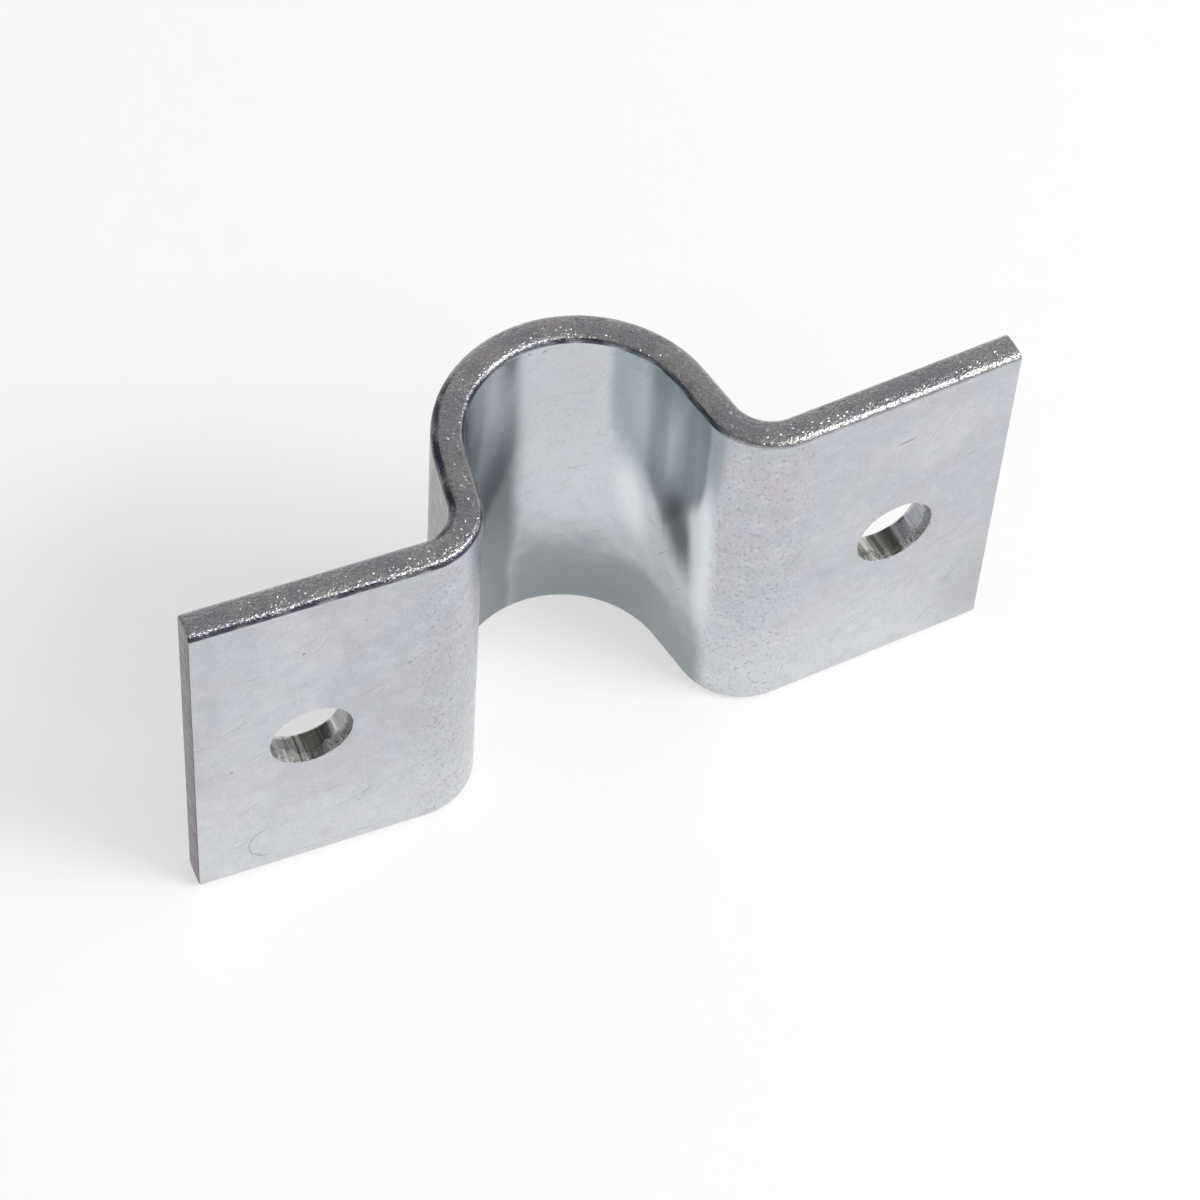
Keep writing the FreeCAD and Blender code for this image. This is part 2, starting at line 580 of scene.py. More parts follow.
def split(place):
    """The three numbers of a flat place: along the bar, across it, and out from mid-thickness."""
    node = tree.nodes.new("ShaderNodeSeparateXYZ")
    fill(node.inputs["Vector"], place)
    return node.outputs["X"], node.outputs["Y"], node.outputs["Z"]


def stretched(place, along, across, out=1.0, turn=0.0):
    """Scale a flat place by a number of repeats per millimetre each way, then turn it."""
    node = tree.nodes.new("ShaderNodeMapping")
    node.inputs["Rotation"].default_value = (0.0, 0.0, math.radians(turn))
    node.inputs["Scale"].default_value = (along, across, out)
    fill(node.inputs["Vector"], place)
    return node.outputs["Vector"]


def turned(place, turn):
    """Lay what follows at a slant on the flat bar. Turn is in degrees, from along towards across."""
    node = tree.nodes.new("ShaderNodeVectorRotate")
    node.rotation_type = "Z_AXIS"
    node.inputs["Angle"].default_value = -math.radians(turn)
    fill(node.inputs["Vector"], place)
    return node.outputs["Vector"]


def grain(place, scale, detail, roughness):
    """Soft noise between 0 and 1."""
    node = tree.nodes.new("ShaderNodeTexNoise")
    fill(node.inputs["Vector"], place)
    node.inputs["Scale"].default_value = scale
    node.inputs["Detail"].default_value = detail
    node.inputs["Roughness"].default_value = roughness
    return node.outputs["Fac"]


def specks(place, scale, size, density):
    """Round specks, one or none in each cell. Density is the share of cells that have one."""
    node = tree.nodes.new("ShaderNodeTexVoronoi")
    fill(node.inputs["Vector"], place)
    node.inputs["Scale"].default_value = scale
    dot = ramp(node.outputs["Distance"], size, 0.3 * size)
    pick = tree.nodes.new("ShaderNodeSeparateColor")
    fill(pick.inputs["Color"], node.outputs["Color"])
    chosen = maths("LESS_THAN", pick.outputs["Red"], density)
    faint = ramp(pick.outputs["Green"], 0.0, 1.0, 0.35, 1.0)
    return times(dot, chosen, faint)


# %% Start a finish
def new_finish(name):
    """An empty material, with its network and its metal shader."""
    finish = bpy.data.materials.new(name)
    finish.use_nodes = True
    shader = finish.node_tree.nodes["Principled BSDF"]
    shader.inputs["Metallic"].default_value = 1.0
    print("new finish:", name)
    return finish, finish.node_tree, shader


# %% [markdown]
# ## Zinc on the rolled bar
# Bright zinc with a clear passivate is a pale lilac-grey metal. It isn't one colour: the film is a few
# hundred nanometres thick, so it drifts between blue, pink and green in soft clouds. The colour could come
# from a thin-film shader, but an export keeps only plain colour, so the drift is mixed from listed colours.
# Towards the lower edge the colour is painted paler, as painted light: it stands for a brighter reflection
# of the floor there.

# %% Clouds of passivate
zinc, tree, shader = new_finish("zinc_on_rolled_bar")
place = marked("flat_place", "Vector")

LILAC_ZINC = (0.552, 0.553, 0.592)
BLUE_FILM = (0.500, 0.552, 0.640)
PINK_FILM = (0.585, 0.535, 0.580)
GREEN_FILM = (0.530, 0.585, 0.580)
PALE_FILM_AND_LIGHT = (0.650, 0.665, 0.690)

wide_clouds = grain(stretched(place, 1, 1), 0.085, 2.0, 0.5)
other_clouds = grain(stretched(place, 1, 1.4, 1, 35), 0.12, 2.0, 0.5)
pale_clouds = grain(stretched(place, 1, 0.8, 3, -20), 0.06, 2.0, 0.5)
colour = wash(LILAC_ZINC, wide_clouds, 0.50, 0.64, 0.50, BLUE_FILM)
colour = wash(colour, wide_clouds, 0.49, 0.36, 0.5, PINK_FILM)
colour = wash(colour, other_clouds, 0.52, 0.66, 0.4, GREEN_FILM)
colour = wash(colour, pale_clouds, 0.50, 0.62, 0.5, PALE_FILM_AND_LIGHT)
along, across, out = split(place)
# Paler towards the lower edge: painted light, for a brighter reflection of the floor.
painted_light_foot = plus(across, times(pale_clouds, 12.0))
colour = wash(colour, painted_light_foot, 4.0, -14.0, 0.75, PALE_FILM_AND_LIGHT)
print("cloud colours:", LILAC_ZINC, BLUE_FILM, PINK_FILM, GREEN_FILM, PALE_FILM_AND_LIGHT)

# %% [markdown]
# ## Where the metal was worked
# Some masks come straight from the flat place. The seat was pressed round a smooth former, which
# burnished it. The outside of each bend was stretched, which opened its grain. Each mask is
# a number that eases from 0 to 1 over a millimetre or two, because worked metal has no hard border.

# %% Masks of the worked metal
from_crown = maths("ABSOLUTE", along)
wall_side = ramp(out, -1.2, -1.7)
conduit_side = ramp(from_crown, leg_end + 3.0, leg_end + 1.0)
seat = times(wall_side, conduit_side)
in_bend = band(from_crown, leg_end + 0.5, leg_end + 3.5, bend_end - 1.0, bend_end + 5.0)
outer_side = ramp(out, 1.2, 1.7)
crown = times(outer_side, ramp(from_crown, seat_end + 3.0, seat_end - 3.0))
stretched_grain = maths("MAXIMUM", times(in_bend, wall_side), crown)
edge = marked("rolled_edge", "Fac")
print("seat ends", round(leg_end, 1), "mm from the crown, bends end at", round(bend_end, 1))

# %% [markdown]
# ## Film on the seat, and painted shade on the seat and the left leg
# The burnished seat took a thicker film, so it looks blue-green, and high on the seat it is partly rubbed
# off. The seat's left wall and its foot are painted dark, as painted shade for the shadowed floor that they
# mirror. Their borders wander by a few millimetres, so a slow noise shifts the place that their masks read.
# The outer face of the left leg is painted dark too, and a little pink, as painted shade.

# %% Painted shade on the outside of the left leg
LEG_PAINTED_SHADE = (0.250, 0.205, 0.211)

outer_leg = band(along, -36.0, -27.0, -21.0, -12.0)
leg_clouds = ramp(wide_clouds, 0.35, 0.60, 0.90, 0.75)
# The outer face of the left leg is painted dark and a little pink: painted shade for the shadowed floor it
# mirrors.
colour = tint(times(outer_leg, outer_side, leg_clouds), colour, LEG_PAINTED_SHADE)

# %% Film on the seat, with painted shade on its left wall and foot
SEAT_FILM = (0.605, 0.670, 0.695)
SEAT_PAINTED_SHADE = (0.138, 0.176, 0.193)
SEAT_COVER = 0.88            # how much of the clouds the seat's film hides
RUBBED_OFF = 0.55            # how much less it hides high on the seat
BORDER_DRIFT = 14.0          # how far its borders wander for a full step of the noise, in mm
PAINTED_SHADE_LEFT_SHARE = 0.95             # share of the dull colour on the left wall

drift = times(minus(other_clouds, 0.5), BORDER_DRIFT)
drifting_along = plus(along, times(drift, 0.2))
drifting_across = plus(across, drift)
left_wall = times(ramp(drifting_along, 0.0, -3.0), ramp(along, -15.0, -10.0))
upper_fade = ramp(drifting_across, 20.0, 2.0, 0.35, 1.0)
lower_fade = ramp(across, -12.0, -2.0, 0.85, 1.0)
painted_shade_left = times(left_wall, upper_fade, lower_fade, PAINTED_SHADE_LEFT_SHARE)
foot_share = ramp(along, -4.0, 0.0, 0.25, 0.66)
painted_shade_foot = times(ramp(drifting_across, -7.0, -18.0), foot_share)
# The seat's left wall and its foot are painted dark: painted shade.
seat_colour = tint(maths("MAXIMUM", painted_shade_left, painted_shade_foot), SEAT_FILM, SEAT_PAINTED_SHADE)
rubbed_top = times(ramp(across, -2.0, 16.0), ramp(from_crown, 13.0, 8.0))
seat_share = minus(SEAT_COVER, times(rubbed_top, RUBBED_OFF))
colour = tint(times(seat, seat_share), colour, seat_colour)
print("films on the leg and the seat:", LEG_PAINTED_SHADE, SEAT_FILM, SEAT_PAINTED_SHADE)

# %% [markdown]
# ## Mottling and grain
# A slow mottling and a fine grain break up the grey. On the stretched side of each bend the grain
# opens into short dark cracks with pale spots between them. The mottling changes the gloss later
# too, because a duller spot on metal is first of all a rougher one.

# %% Mottling, fine grain and open grain
GREY_LOW = (0.30, 0.30, 0.32)
WHITE_ZINC = (0.78, 0.79, 0.81)

mottle = grain(place, 0.45, 4.0, 0.6)
fine = grain(place, 3.6, 2.0, 0.7)
open_grain = grain(stretched(place, 1, 0.55), 2.6, 3.0, 0.75)
colour = wash(colour, mottle, 0.50, 0.72, 0.12, GREY_LOW)
colour = wash(colour, fine, 0.54, 0.68, 0.13, GREY_LOW)
seat_grain = ramp(open_grain, 0.50, 0.66, 0.0, 0.20)
grain_patches = ramp(mottle, 0.40, 0.58, 0.25, 1.0)
colour = tint(times(seat_grain, seat, grain_patches), colour, GREY_LOW)
pale_mottle = times(ramp(mottle, 0.48, 0.30, 0.0, 0.18), minus(1.0, seat))
colour = tint(pale_mottle, colour, WHITE_ZINC)
cracks = times(ramp(open_grain, 0.565, 0.64), stretched_grain)
colour = tint(times(cracks, 0.62), colour, GREY_LOW)
pale_spots = times(ramp(open_grain, 0.42, 0.33), stretched_grain)
colour = tint(times(pale_spots, 0.45), colour, WHITE_ZINC)
print("mottling and grain:", GREY_LOW, WHITE_ZINC)

# %% [markdown]
# ## Pits and scratches
# Barrel plating leaves pinholes where gas clung, and parts that tumble together scratch each other.
# Pits are Voronoi cells with a dot in some of them, more of them in clusters, in the seat and where
# the metal was stretched. Scratches are noise stretched about forty to seventy times longer than it
# is wide, cut off so high that only thin lines are left. Three turns of it give the bar's own
# rolling lines and two sets that slant across them, and a slow noise breaks all of them off in places.

# %% Pits
PIT = (0.17, 0.17, 0.19)
pit_clusters = ramp(grain(place, 0.11, 2.0, 0.5), 0.45, 0.60, 0.03, 0.20)
pit_density = plus(pit_clusters, times(stretched_grain, 0.40))
pit_density = plus(pit_density, times(seat, 0.16))
small_pits = specks(place, 1.15, 0.17, pit_density)
large_pits = specks(stretched(place, 1, 1, 1, 40), 0.22, 0.075, 0.30)
pits = maths("MAXIMUM", times(small_pits, 0.55), times(large_pits, 0.8))
colour = tint(pits, colour, PIT)
print("pits added:", PIT)


# %% Scratches
def scratches(place, turn, length, width, keep):
    """Thin lines, mostly one way. Keep is how high the noise is cut off, so higher is sparser."""
    slanted = turned(place, turn)
    lines = grain(stretched(slanted, 1 / length, 1 / width), 1.0, 1.0, 0.5)
    return ramp(lines, keep, keep + 0.05)


rolling_lines = scratches(place, 1, 20.0, 0.30, 0.69)
slant_lines = scratches(place, 24, 11.0, 0.22, 0.68)
steep_lines = scratches(place, 58, 8.0, 0.22, 0.69)
slanting = maths("MAXIMUM", slant_lines, steep_lines)
broken = ramp(grain(place, 0.21, 1.0, 0.5), 0.48, 0.60)
fewer_in_seat = ramp(seat, 0.0, 1.0, 1.0, 0.9)
all_lines = times(maths("MAXIMUM", rolling_lines, slanting), broken, fewer_in_seat)
colour = tint(times(all_lines, 0.48), colour, GREY_LOW)

# %% [markdown]
# ## Marks, and painted light and shade
# A used part has a few marks that noise would never put in the right place. Some are sharp: short dark
# nicks on both tabs, deep pits in the seat, and a curl low on the left tab. Others are soft, and are
# painted light and shade rather than marks in the metal: a painted dark reflection inside the right leg, a
# painted highlight beside it, a painted highlight strip along that leg, a painted highlight high on the
# seat's right wall, and painted shade on the lower corner of the right tab. Each is a distance from a place
# on the flat bar, eased into a mark.

# %% Distance from a mark
def from_mark(place, at, half_length, half_width, turn):
    """Distance from an oval on the wall side: 0 in its middle, 1 at its rim."""
    shift = tree.nodes.new("ShaderNodeVectorMath")
    shift.operation = "SUBTRACT"
    fill(shift.inputs[0], place)
    shift.inputs[1].default_value = (*at, -BAR_THICKNESS / 2)
    near = stretched(turned(shift.outputs[0], turn), 1 / half_length, 1 / half_width)
    length = tree.nodes.new("ShaderNodeVectorMath")
    length.operation = "LENGTH"
    fill(length.inputs[0], near)
    return length.outputs["Value"]


# %% Nicks and deep pits: place, half length and half width in mm, turn in degrees, darkness
NICKS = (
    ((49.7, 16.9), 1.6, 0.20, 6.0, 0.75),
    ((58.9, 9.6), 1.0, 0.14, 6.0, 0.40),
    ((-38.3, 8.1), 0.35, 0.25, 20.0, 0.60),
    ((-59.3, -3.1), 0.35, 0.30, 0.0, 0.65),
    ((-30.2, 15.6), 0.55, 0.25, 30.0, 0.70),
    ((-0.6, 23.6), 0.25, 0.35, 15.0, 0.60),
    ((1.5, 23.3), 0.50, 0.22, 25.0, 0.50),
    ((16.4, 5.8), 0.40, 0.30, 30.0, 0.60),
    ((15.4, 21.6), 0.30, 0.30, 0.0, 0.65),
)
ragged = ramp(open_grain, 0.30, 0.50, 0.5, 1.0)
for *oval, darkness in NICKS:
    nick = ramp(from_mark(place, *oval), 1.0, 0.25)
    colour = tint(times(nick, ragged, darkness), colour, PIT)
print("nicks and deep pits:", len(NICKS))

# %% Curl on the left tab
CURL_AT = (-54.6, -19.6)
CURL_SIZE = 2.9
from_curl = from_mark(place, CURL_AT, CURL_SIZE, CURL_SIZE, 0.0)
wavering = plus(from_curl, times(mottle, 0.3))
curl_line = ramp(maths("ABSOLUTE", minus(wavering, 1.15)), 0.055, 0.015)
curl_side = ramp(along, CURL_AT[0] - 0.2, CURL_AT[0] - 1.4)
colour = tint(times(curl_line, curl_side, 0.40), colour, PIT)
print("curl at", CURL_AT)

# %% Painted light and shade: oval as above, then where it is full, its share, and its colour
PAINTED_DARK_REFLECTION = (0.05, 0.053, 0.058)
PAINTED_HIGHLIGHT = (0.80, 0.84, 0.87)
SOFT_MARKS = {
    # A painted dark reflection inside the right leg.
    "painted dark reflection": ((23.6, -0.2), 5.0, 10.0, 12.0, 0.15, 0.92, PAINTED_DARK_REFLECTION),
    # Painted highlights: beside the dark reflection, along the right leg, and high on the seat's right
    # wall.
    "painted highlight": ((14.8, -2.5), 3.4, 10.0, 14.0, 0.10, 0.80, PAINTED_HIGHLIGHT),
    "painted highlight strip": ((26.8, 5.0), 2.4, 26.0, 4.0, 0.30, 0.68, PAINTED_HIGHLIGHT),
    "painted upper highlight": ((18.0, 14.5), 7.5, 13.0, 0.0, 0.20, 0.92, PAINTED_HIGHLIGHT),
    # Painted shade on the lower corner of the right tab.
    "painted shade corner": ((63.0, -18.0), 10.0, 13.0, 0.0, 0.10, 0.36, GREY_LOW),
}
for *oval, full, share, mark_colour in SOFT_MARKS.values():
    colour = wash(colour, from_mark(place, *oval), 1.0, full, share, mark_colour)
print("soft marks:", list(SOFT_MARKS))

# %% [markdown]
# ## The rolled edges
# The narrow edges were never burnished. Rolls leave them coarse and darker, and the plating follows that
# texture. Most of it is fine grain, but here and there a nodule of zinc stands up like a small round
# mirror, most of all towards the wall side and in the bends. These are painted near white, so they are
# partly painted glints as well as pale zinc.

# %% Edge colour
EDGE_ZINC = (0.385, 0.378, 0.402)
EDGE_DARK = (0.18, 0.175, 0.19)
EDGE_WARM = (0.46, 0.445, 0.425)

edge_grain = grain(stretched(place, 0.8, 1, 1), 4.2, 2.0, 0.7)
edge_patches = grain(place, 0.23, 2.0, 0.5)
edge_colour = wash(EDGE_ZINC, edge_patches, 0.46, 0.56, 0.9, EDGE_WARM)
edge_colour = wash(edge_colour, edge_grain, 0.50, 0.66, 0.55, EDGE_DARK)
edge_colour = wash(edge_colour, edge_grain, 0.45, 0.34, 0.35, WHITE_ZINC)

# %% Nodules on the edges
glint_density = ramp(out, 0.8, -1.5, 0.10, 0.75)
glint_density = times(glint_density, ramp(edge_patches, 0.40, 0.60, 0.45, 1.0))
glint_density = plus(glint_density, times(in_bend, 0.25))
nodule_glints = specks(stretched(place, 0.8, 1, 1), 2.1, 0.36, glint_density)
# Near-white specks: pale zinc nodules, partly painted glints.
edge_colour = tint(times(nodule_glints, 0.75), edge_colour, WHITE_ZINC)

edge_border = plus(edge, times(minus(open_grain, 0.5), 0.25))
edge_share = ramp(edge_border, 0.30, 0.60)
colour = tint(edge_share, colour, edge_colour)
print("edge colours:", EDGE_ZINC, EDGE_DARK, EDGE_WARM)

# %% [markdown]
# ## The painted dark line
# A dark blue line is painted along the roundings of the upper edge, as painted shade: it stands for the
# dark reflection of the room near the horizon, and it is broken in places and fainter on the right tab. The
# line runs along the wall side, and on the left leg along the outer face too. The mesh already says how far
# round the edge each point is, so a band of that number is the line.

# %% Painted dark line along the roundings
PAINTED_DARK_LINE = (0.040, 0.042, 0.075)
DARK_LINE_SHARE = 0.92

line_breaks = ramp(grain(stretched(place, 0.35, 1, 1), 1.0, 2.0, 0.5), 0.42, 0.64, 1.0, 0.50)
line_breaks = times(line_breaks, ramp(along, 27.0, 33.0, 1.0, 0.30))
wall_line = times(band(edge, 0.03, 0.16, 0.74, 0.90), ramp(out, -0.5, -1.1))
outer_left = band(along, -35.0, -32.0, -13.0, -7.0)
outer_rounding = times(ramp(out, 0.85, 1.25), ramp(edge, 0.03, 0.16))
dark_line = maths("MAXIMUM", wall_line, times(outer_left, outer_rounding))
upper_edge = ramp(across, -1.0, 1.0)
# The dark line is painted shade, for a dark reflection along the roundings.
colour = tint(times(dark_line, line_breaks, upper_edge, DARK_LINE_SHARE), colour, PAINTED_DARK_LINE)
fill(shader.inputs["Base Color"], colour)

# %% [markdown]
# ## Gloss
# Roughness spreads the reflections. The seat is the smoothest, with faint streaks along the conduit
# from its former, and each nodule is a small mirror on a rougher edge. Scratches are duller than the
# metal between them.

# %% Gloss of the rolled surfaces
gloss = ramp(mottle, 0.35, 0.75, 0.24, 0.31)
gloss = plus(gloss, times(stretched_grain, 0.03))
gloss = plus(gloss, times(all_lines, 0.10))
seat_gloss = ramp(grain(stretched(place, 0.9, 0.05), 1.0, 2.0, 0.5), 0.3, 0.7, 0.15, 0.19)
gloss = blend(seat, gloss, seat_gloss)
gloss = blend(edge_share, gloss, ramp(nodule_glints, 0.0, 0.6, 0.22, 0.12))
fill(shader.inputs["Roughness"], gloss)
print("nodes so far:", len(tree.nodes))

# %% [markdown]
# ## Relief
# A bump node tilts the shading by a height map, with no change to the mesh. A height of 1 is a
# twentieth of a millimetre here. The coarse edges rise and fall by about a tenth of a millimetre, and
# the wide faces by a few thousandths, less still in the burnished seat. Pits and cracks go below the
# surface, so they are subtracted.

# %% Height of the rolled surfaces
def relief(shader, height, depth_mm):
    """Tilt the shading by a height map that is this many millimetres deep."""
    node = tree.nodes.new("ShaderNodeBump")
    node.inputs["Distance"].default_value = depth_mm * MM
    fill(node.inputs["Height"], height)
    fill(shader.inputs["Normal"], node.outputs["Normal"])


face_share = minus(1.0, times(seat, 0.7))
face_height = times(fine, 0.05)
face_height = plus(face_height, times(mottle, 0.12))
face_height = minus(face_height, times(cracks, 0.30))
face_height = minus(face_height, times(pits, 0.30))
face_height = times(face_height, face_share)
edge_waves = grain(stretched(place, 0.7, 1.0, 1.0), 1.3, 2.0, 0.6)
edge_height = plus(times(edge_grain, 2.2), times(edge_waves, 2.4))
edge_height = plus(edge_height, times(nodule_glints, 1.8))
edge_height = times(edge_height, edge_share)
relief(shader, plus(face_height, edge_height), depth_mm=0.05)
print("nodes in the zinc:", len(tree.nodes))

# %% [markdown]
# ## The sheared ends
# A shear cuts the first part of the thickness cleanly and breaks the rest, so the end has a smoother
# band and a torn one, both streaked the way the blade went. Zinc throws poorly into that roughness,
# and the film there is thicker and looks mauve, darkest along the rim on the wall side.

# %% Finish of the sheared ends
sheared, tree, shader = new_finish("zinc_on_sheared_end")
place = marked("flat_place", "Vector")
RIM_DARK = (0.13, 0.12, 0.15)
MAUVE_ZINC = (0.268, 0.236, 0.264)
MAUVE_DARK = (0.13, 0.115, 0.13)
MAUVE_PALE = (0.50, 0.455, 0.49)

out = split(place)[2]
blade_streaks = grain(stretched(place, 1, 2.2, 0.35), 1.0, 3.0, 0.65)
torn_grain = grain(place, 2.6, 4.0, 0.75)
torn_band = ramp(plus(out, times(blade_streaks, 1.6)), 1.1, 0.2)
colour = wash(MAUVE_ZINC, blade_streaks, 0.50, 0.64, 0.6, MAUVE_DARK)
colour = wash(colour, blade_streaks, 0.46, 0.34, 0.6, MAUVE_PALE)
colour = wash(colour, out, -1.35, -1.60, 0.8, RIM_DARK)
torn_dark = times(ramp(torn_grain, 0.48, 0.62, 0.0, 0.8), torn_band)
colour = tint(torn_dark, colour, MAUVE_DARK)
fill(shader.inputs["Base Color"], colour)
fill(shader.inputs["Roughness"], ramp(torn_grain, 0.3, 0.7, 0.30, 0.45))
height = plus(blade_streaks, times(torn_grain, torn_band, 3.0))
relief(shader, height, depth_mm=0.05)
print("nodes in the sheared finish:", len(tree.nodes))

# %% [markdown]
# ## Inside the holes
# The punch scores the wall of each hole from one face to the other, then tears it. Little zinc reaches in,
# so most of the wall is olive-grey with dark and bright scores, and its torn stretch is coarse and
# sparkles. Towards +X the wall is painted a pale lilac-grey as a painted reflection, weaker in the left
# hole, and between the middle and that side a dark band is painted as shade.

# %% Masks of the hole walls
punched, tree, shader = new_finish("zinc_in_punched_hole")
place = marked("flat_place", "Vector")
along, _, out = split(place)
centre = times(maths("SIGN", along), hole_along)
from_centre = minus(along, centre)
broad_scores = grain(stretched(place, 0.9, 0.9, 0.05), 1.0, 2.0, 0.6)
fine_scores = grain(stretched(place, 3.4, 3.4, 0.12), 1.0, 2.0, 0.6)
tear_grain = grain(place, 3.4, 4.0, 0.75)
tear_edge = plus(out, times(broad_scores, 1.8))
tear_zone = ramp(tear_edge, 0.7, -0.3)
# The pale side of each hole wall is a painted reflection.
painted_reflection_side = ramp(plus(from_centre, times(fine_scores, 0.6)), 1.9, 2.7)
painted_reflection_side = times(painted_reflection_side, ramp(along, -1.0, 1.0, 0.40, 1.0))
painted_shade_band = times(ramp(from_centre, -0.8, 0.4), minus(1.0, painted_reflection_side))
print("holes are centred", round(hole_along, 2), "mm along the flat bar from the crown")

# %% Finish of the hole walls
OLIVE_ZINC = (0.560, 0.565, 0.530)
OLIVE_DARK = (0.090, 0.090, 0.080)
BRIGHT_SCORE = (0.86, 0.88, 0.86)
PAINTED_WALL_REFLECTION = (0.64, 0.65, 0.68)

colour = wash(OLIVE_ZINC, broad_scores, 0.50, 0.60, 0.75, OLIVE_DARK)
colour = wash(colour, broad_scores, 0.47, 0.38, 0.60, BRIGHT_SCORE)
# Painted shade: a dark band towards +X of the middle of each hole.
colour = tint(times(painted_shade_band, 0.75), colour, OLIVE_DARK)
# Painted reflection: a pale lilac-grey side of the wall.
colour = tint(times(painted_reflection_side, 0.92), colour, PAINTED_WALL_REFLECTION)
colour = wash(colour, fine_scores, 0.54, 0.68, 0.50, OLIVE_DARK)
colour = wash(colour, fine_scores, 0.40, 0.30, 0.40, BRIGHT_SCORE)
torn_dark = times(ramp(tear_grain, 0.49, 0.60, 0.0, 0.8), tear_zone)
colour = tint(torn_dark, colour, OLIVE_DARK)
# Bright specks near the wall face: raised by the relief below, and painted near white as glints.
sparkle = times(specks(place, 2.4, 0.34, 0.55), ramp(out, -1.1, -1.6))
colour = tint(sparkle, colour, BRIGHT_SCORE)
fill(shader.inputs["Base Color"], colour)
fill(shader.inputs["Roughness"], ramp(tear_zone, 0.0, 1.0, 0.24, 0.32))
height = plus(times(broad_scores, 1.2), times(fine_scores, 0.35))
height = plus(height, times(tear_grain, tear_zone, 3.0))
height = plus(height, times(sparkle, 1.5))
relief(shader, height, depth_mm=0.06)
print("nodes in the punched finish:", len(tree.nodes))

# %% [markdown]
# ## Which face has which finish
# The zones that the points carry decide it. A face belongs to an end or to a hole when all of its
# points do, so the finishes meet exactly on the worn rims.

# %% Give each face its finish
END_FROM = 0.6               # share of a sheared end from which a point wears its finish
WALL_FROM = 0.3              # the same for the wall of a hole
for finish in (zinc, sheared, punched):
    strap_mesh.materials.append(finish)
end_share = strap_mesh.attributes["sheared_end"].data
wall_share = strap_mesh.attributes["punched_wall"].data
for face in strap_mesh.polygons:
    corners = face.vertices
    if min(end_share[corner].value for corner in corners) > END_FROM:
        face.material_index = 1
    elif min(wall_share[corner].value for corner in corners) > WALL_FROM:
        face.material_index = 2
counts = [0, 0, 0]
for face in strap_mesh.polygons:
    counts[face.material_index] += 1
print("faces rolled, sheared, punched:", counts)

# %% [markdown]
# ## A studio for bright metal
# Metal shows the room more than it shows itself, so the room is built first: a white floor, a
# grey ceiling, a white horizon, and two softboxes. A glow that only the camera and mirrors see lifts
# the floor to white, and it is kept weak so that the strap's shadow still lies on it.

# %% Stage helpers
def show(thing):
    """Put an object into the scene."""
    bpy.context.scene.collection.objects.link(thing)
    return thing


def stage_panel(name, corners, brightness):
    """A flat matt panel of the studio, which isn't part of the strap."""
    mesh = bpy.data.meshes.new(name)
    mesh.from_pydata(corners, [], [(0, 1, 2, 3)])
    paint = bpy.data.materials.new(name + "_paint")
    paint.use_nodes = True
    paint.node_tree.nodes.clear()
    matt = paint.node_tree.nodes.new("ShaderNodeBsdfDiffuse")
    matt.inputs["Color"].default_value = (brightness, brightness, brightness, 1)
    surface = paint.node_tree.nodes.new("ShaderNodeOutputMaterial")
    paint.node_tree.links.new(matt.outputs[0], surface.inputs["Surface"])
    mesh.materials.append(paint)
    panel = show(bpy.data.objects.new(name, mesh))
    return panel


def level_square(reach, height):
    """Four corners of a level square about the strap, in metres."""
    sides = ((-reach, -reach), (reach, -reach), (reach, reach), (-reach, reach))
    return [(x, y, height) for x, y in sides]


def facing(turn, rise):
    """Unit vector from the strap. Turn is from straight in front, towards the right, in degrees."""
    turn, rise = math.radians(turn), math.radians(rise)
    return Vector((math.sin(turn) * math.cos(rise), -math.cos(turn) * math.cos(rise), math.sin(rise)))


# %% Floor and ceiling
FLOOR_REACH = 4.0
FLOOR_WHITE = 0.85
FLOOR_GLOW = 0.55
CEILING_REACH = 3.0
CEILING_HEIGHT = 1.5
CEILING_GREY = 0.50
floor_height = solid_box[0].z
floor = stage_panel("studio_floor", level_square(FLOOR_REACH, floor_height), FLOOR_WHITE)
stage_panel("studio_ceiling", level_square(CEILING_REACH, CEILING_HEIGHT), CEILING_GREY)
print("floor at", round(floor_height, 4), "m")

# %% Glow of the floor
tree = floor.data.materials[0].node_tree
surface = tree.nodes["Material Output"]
matt = tree.nodes["Diffuse BSDF"]
ray = tree.nodes.new("ShaderNodeLightPath")
mirrored = maths("MAXIMUM", ray.outputs["Is Glossy Ray"], ray.outputs["Is Transmission Ray"])
looked_at = maths("MAXIMUM", ray.outputs["Is Camera Ray"], mirrored)
glow = tree.nodes.new("ShaderNodeEmission")
lift = tree.nodes.new("ShaderNodeMixShader")
fill(lift.inputs["Fac"], times(looked_at, FLOOR_GLOW))
tree.links.new(matt.outputs[0], lift.inputs[1])
tree.links.new(glow.outputs[0], lift.inputs[2])
tree.links.new(lift.outputs[0], surface.inputs["Surface"])

# %% [markdown]
# ## Flags
# With white all round, bright metal shows no edges. Small black cards, which a studio calls flags,
# hang a hand's width away, and each rounded edge picks one up as a thin dark line. They hang clear
# of the floor, so the wide faces still mirror white. The camera doesn't see them, and they cast
# no shadow.

# %% Hang the flags
FLAG_BLACK = 0.02


def hang_flag(name, start, stop, bottom, top):
    """An upright dark card over a line on the floor, clear of the floor itself."""
    corners = [(*start, bottom), (*stop, bottom), (*stop, top), (*start, top)]
    flag = stage_panel(name, corners, FLAG_BLACK)
    flag.visible_camera = False
    flag.visible_shadow = False
    flag.visible_diffuse = False


hang_flag("front_flag", start=(-0.25, -0.14), stop=(0.22, -0.14), bottom=0.02, top=0.11)
hang_flag("left_flag", start=(-0.13, 0.055), stop=(-0.13, 0.24), bottom=0.02, top=0.18)

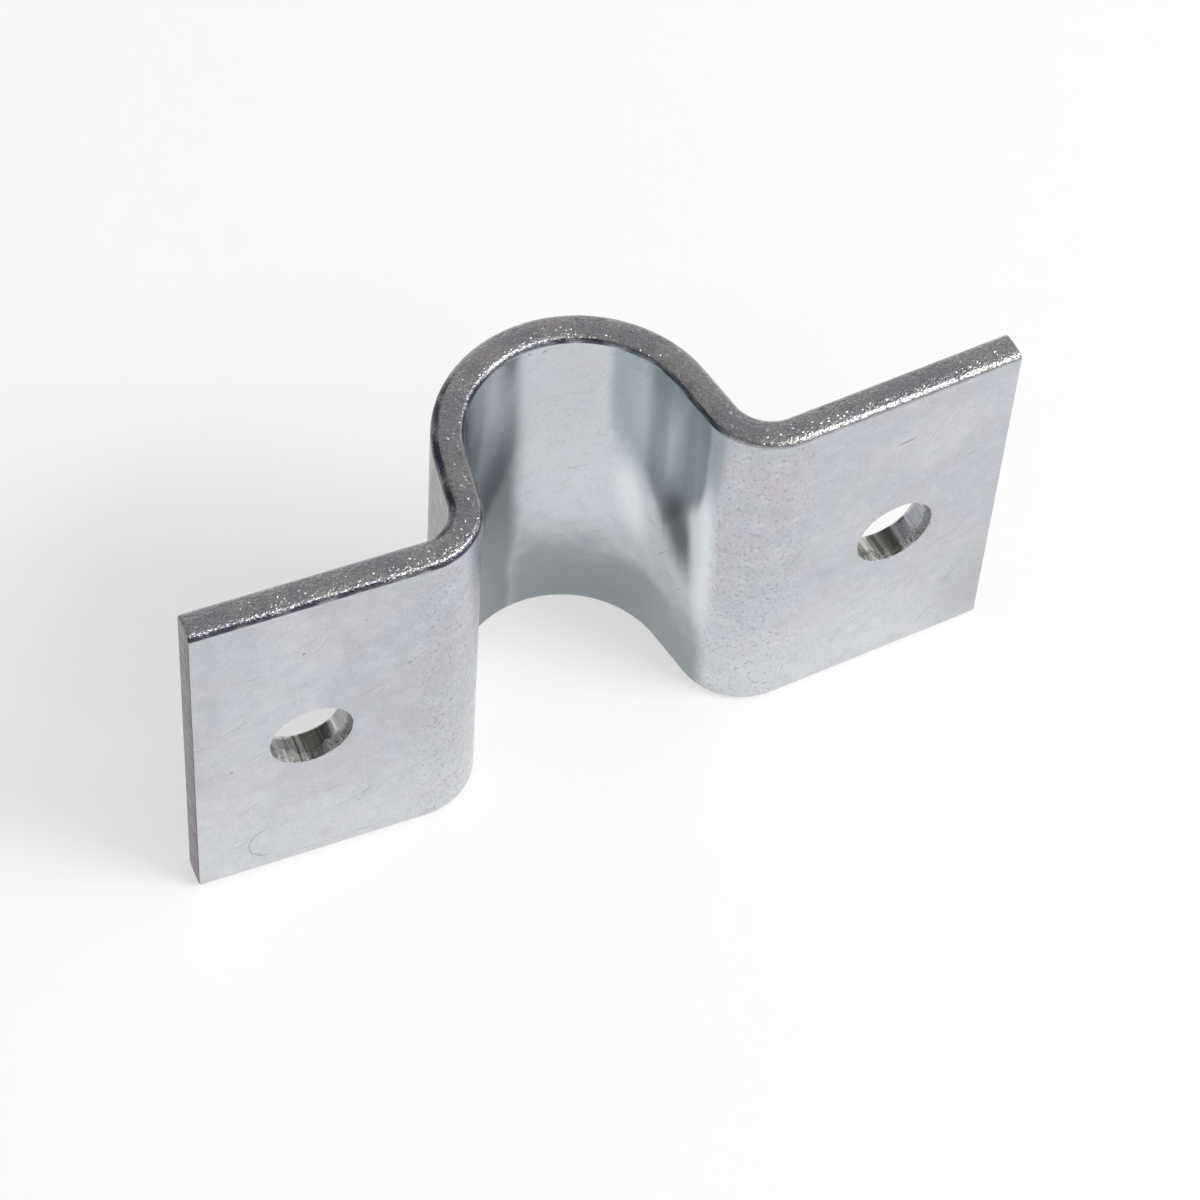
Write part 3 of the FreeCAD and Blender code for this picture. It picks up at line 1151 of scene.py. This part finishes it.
# %% [markdown]
# ## Light
# The world gives a white horizon. A softbox is an area lamp, big for its distance, so its
# shadows are soft and it shows in the metal as a broad highlight. The key softbox stands to the front
# and right, and a weaker fill hangs almost straight in front. The power of each follows from its
# brightness and its size, which keeps the level steady when the size changes.

# %% World and softboxes
world = bpy.data.worlds.new("studio_horizon")
world.use_nodes = True
world.node_tree.nodes["Background"].inputs["Color"].default_value = (1, 1, 1, 1)
bpy.context.scene.world = world


def softbox(name, towards, distance, size, brightness):
    """A rectangular lamp that faces the strap, from a direction and a distance in metres."""
    light = bpy.data.lights.new(name, "AREA")
    light.shape = "RECTANGLE"
    light.size, light.size_y = size
    light.energy = brightness * math.pi * size[0] * size[1]
    lamp = show(bpy.data.objects.new(name, light))
    lamp.location = towards * distance
    lamp.rotation_mode = "QUATERNION"
    lamp.rotation_quaternion = towards.to_track_quat("Z", "Y")
    lamp.visible_camera = False
    print(name, "power in watts:", round(light.energy, 2))


softbox("key_softbox", facing(50, 38), distance=1.6, size=(0.8, 0.7), brightness=14.0)
softbox("fill_softbox", facing(10, 46), distance=1.6, size=(0.8, 0.3), brightness=2.5)

# %% [markdown]
# ## Camera
# A long lens from half a metre away, high and to the left, looks down on the wall side. The camera is
# placed by its distance from the point that it aims at, then rolled a few degrees.

# %% Place the camera
from mathutils import Quaternion

CAMERA_TURN = -28.189        # degrees, left of straight in front
CAMERA_RISE = 54.759         # degrees
CAMERA_ROLL = math.radians(4.506)
CAMERA_DISTANCE = 507.066
CAMERA_AIM = Vector((-3.70, -14.21, 13.36))
FOCAL_LENGTH = 138.54

back = facing(CAMERA_TURN, CAMERA_RISE)
lens = bpy.data.cameras.new("camera")
lens.lens = FOCAL_LENGTH
lens.sensor_width = 36.0
lens.clip_start = 0.01
lens.clip_end = 20.0
camera = show(bpy.data.objects.new("camera", lens))
camera.location = (CAMERA_AIM + back * CAMERA_DISTANCE) * MM
camera.rotation_mode = "QUATERNION"
camera.rotation_quaternion = back.to_track_quat("Z", "Y") @ Quaternion((0, 0, 1), CAMERA_ROLL)
bpy.context.scene.camera = camera
bpy.context.scene.view_settings.view_transform = "Standard"
print("camera at", camera.location)
